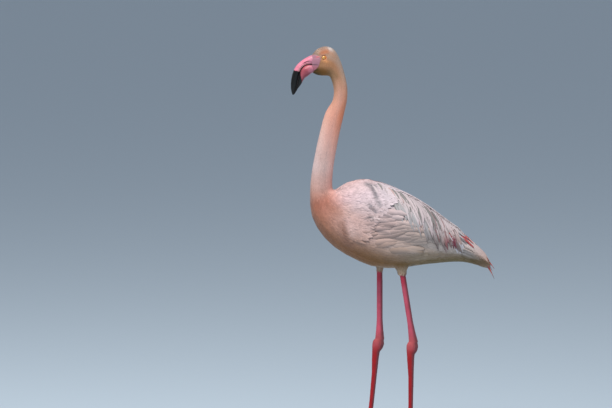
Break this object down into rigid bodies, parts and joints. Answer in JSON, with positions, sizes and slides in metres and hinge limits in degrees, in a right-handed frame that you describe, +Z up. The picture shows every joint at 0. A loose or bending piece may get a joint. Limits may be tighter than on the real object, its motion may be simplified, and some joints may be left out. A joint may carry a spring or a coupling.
{
  "type": "greater flamingo",
  "caption": "Life-size still model of a standing greater flamingo, neck raised in an S and folded wings, resting on its webbed feet.",
  "frame": {"origin": "on the floor, under the middle of the bird's length and width", "axes": "+Z up, the bird faces -X, its left side is towards -Y"},
  "size_m": [0.5688, 0.1902, 1.1606],
  "materials": {
    "plumage": "matte pale salmon contour feathers, tan on the head and neck",
    "wing": "matte pinkish white coverts and scapulars, crimson and grey-black at the rear",
    "tail": "matte pinkish feathers with red shafts",
    "bill_pink": "satin pink horn",
    "bill_black": "satin black horn",
    "eye": "wet, glossy yellow-orange eyeball with a black pupil",
    "leg": "satin crimson-pink scaled skin",
    "claw": "dark horn"
  },
  "bodies": {
    "root": {"bill_lower": "bill_pink", "bill_tip_lower": "bill_black", "bill_tip_upper": "bill_black", "bill_upper": "bill_pink", "claw_inner_left": "claw", "claw_inner_right": "claw", "claw_middle_left": "claw", "claw_middle_right": "claw", "claw_outer_left": "claw", "claw_outer_right": "claw", "eye_left": "eye", "eye_right": "eye", "foot_left": "leg", "foot_right": "leg", "head": "plumage", "neck_lower": "plumage", "neck_middle": "plumage", "neck_upper": "plumage", "scapulars_left": "wing", "scapulars_right": "wing", "shank_left": "leg", "shank_right": "leg", "tail": "tail", "tarsus_left": "leg", "tarsus_right": "leg", "thigh_left": "plumage", "thigh_right": "plumage", "trunk": "plumage", "wing_left": "wing", "wing_right": "wing"}
  },
  "joints": []
}
